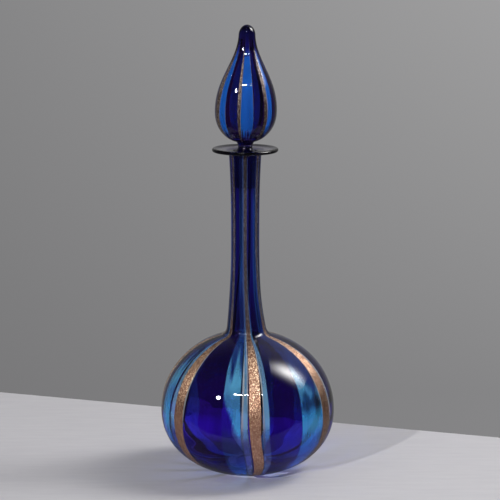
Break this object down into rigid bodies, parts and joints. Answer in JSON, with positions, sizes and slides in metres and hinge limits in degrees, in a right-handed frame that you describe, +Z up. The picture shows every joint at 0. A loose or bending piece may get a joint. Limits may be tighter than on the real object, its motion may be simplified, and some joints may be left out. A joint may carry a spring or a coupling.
{
  "type": "stoppered carafe",
  "caption": "Blown glass carafe with a squat round bulb, a long slender neck, a thin dished lip and a teardrop stopper, striped lengthwise in cobalt, aqua and coppery aventurine.",
  "frame": {"origin": "centre of the ground foot, at the level it stands on", "axes": "+Z up along the bulb's axis, -Y towards the pictured front, +X to the right of it"},
  "size_m": [0.1382, 0.1383, 0.3583],
  "materials": {
    "clear_glass": "fire polished",
    "cobalt_glass": "fire polished",
    "aqua_glass": "fire polished",
    "aventurine_glass": "fire polished, with copper glitter inside"
  },
  "bodies": {
    "bottle": {"bottle_gather": "clear_glass", "lip_disc": "clear_glass", "aventurine_cane_1": "aventurine_glass", "aventurine_cane_2": "aventurine_glass", "aventurine_cane_3": "aventurine_glass", "aventurine_cane_4": "aventurine_glass", "aventurine_cane_5": "aventurine_glass", "aventurine_cane_6": "aventurine_glass", "aventurine_cane_7": "aventurine_glass", "cobalt_band_1": "cobalt_glass", "cobalt_band_2": "cobalt_glass", "cobalt_band_3": "cobalt_glass", "cobalt_band_4": "cobalt_glass", "cobalt_band_5": "cobalt_glass", "cobalt_band_6": "cobalt_glass", "cobalt_band_7": "cobalt_glass", "aqua_band_1": "aqua_glass", "aqua_band_2": "aqua_glass", "aqua_band_3": "aqua_glass", "aqua_band_4": "aqua_glass", "aqua_band_5": "aqua_glass", "aqua_band_6": "aqua_glass", "aqua_band_7": "aqua_glass"},
    "stopper": {"stopper_plug": "cobalt_glass", "finial_core": "clear_glass", "finial_tip": "cobalt_glass", "finial_aventurine_cane_1": "aventurine_glass", "finial_aventurine_cane_2": "aventurine_glass", "finial_aventurine_cane_3": "aventurine_glass", "finial_aventurine_cane_4": "aventurine_glass", "finial_aventurine_cane_5": "aventurine_glass", "finial_aventurine_cane_6": "aventurine_glass", "finial_aventurine_cane_7": "aventurine_glass", "finial_cobalt_band_1": "cobalt_glass", "finial_cobalt_band_2": "cobalt_glass", "finial_cobalt_band_3": "cobalt_glass", "finial_cobalt_band_4": "cobalt_glass", "finial_cobalt_band_5": "cobalt_glass", "finial_cobalt_band_6": "cobalt_glass", "finial_cobalt_band_7": "cobalt_glass", "finial_aqua_band_1": "aqua_glass", "finial_aqua_band_2": "aqua_glass", "finial_aqua_band_3": "aqua_glass", "finial_aqua_band_4": "aqua_glass", "finial_aqua_band_5": "aqua_glass", "finial_aqua_band_6": "aqua_glass", "finial_aqua_band_7": "aqua_glass"}
  },
  "joints": [
    {"name": "stopper_lift", "type": "slide", "parent": "bottle", "child": "stopper", "axis": [0, 0, 1], "range_m": [0, 0.08]}
  ]
}
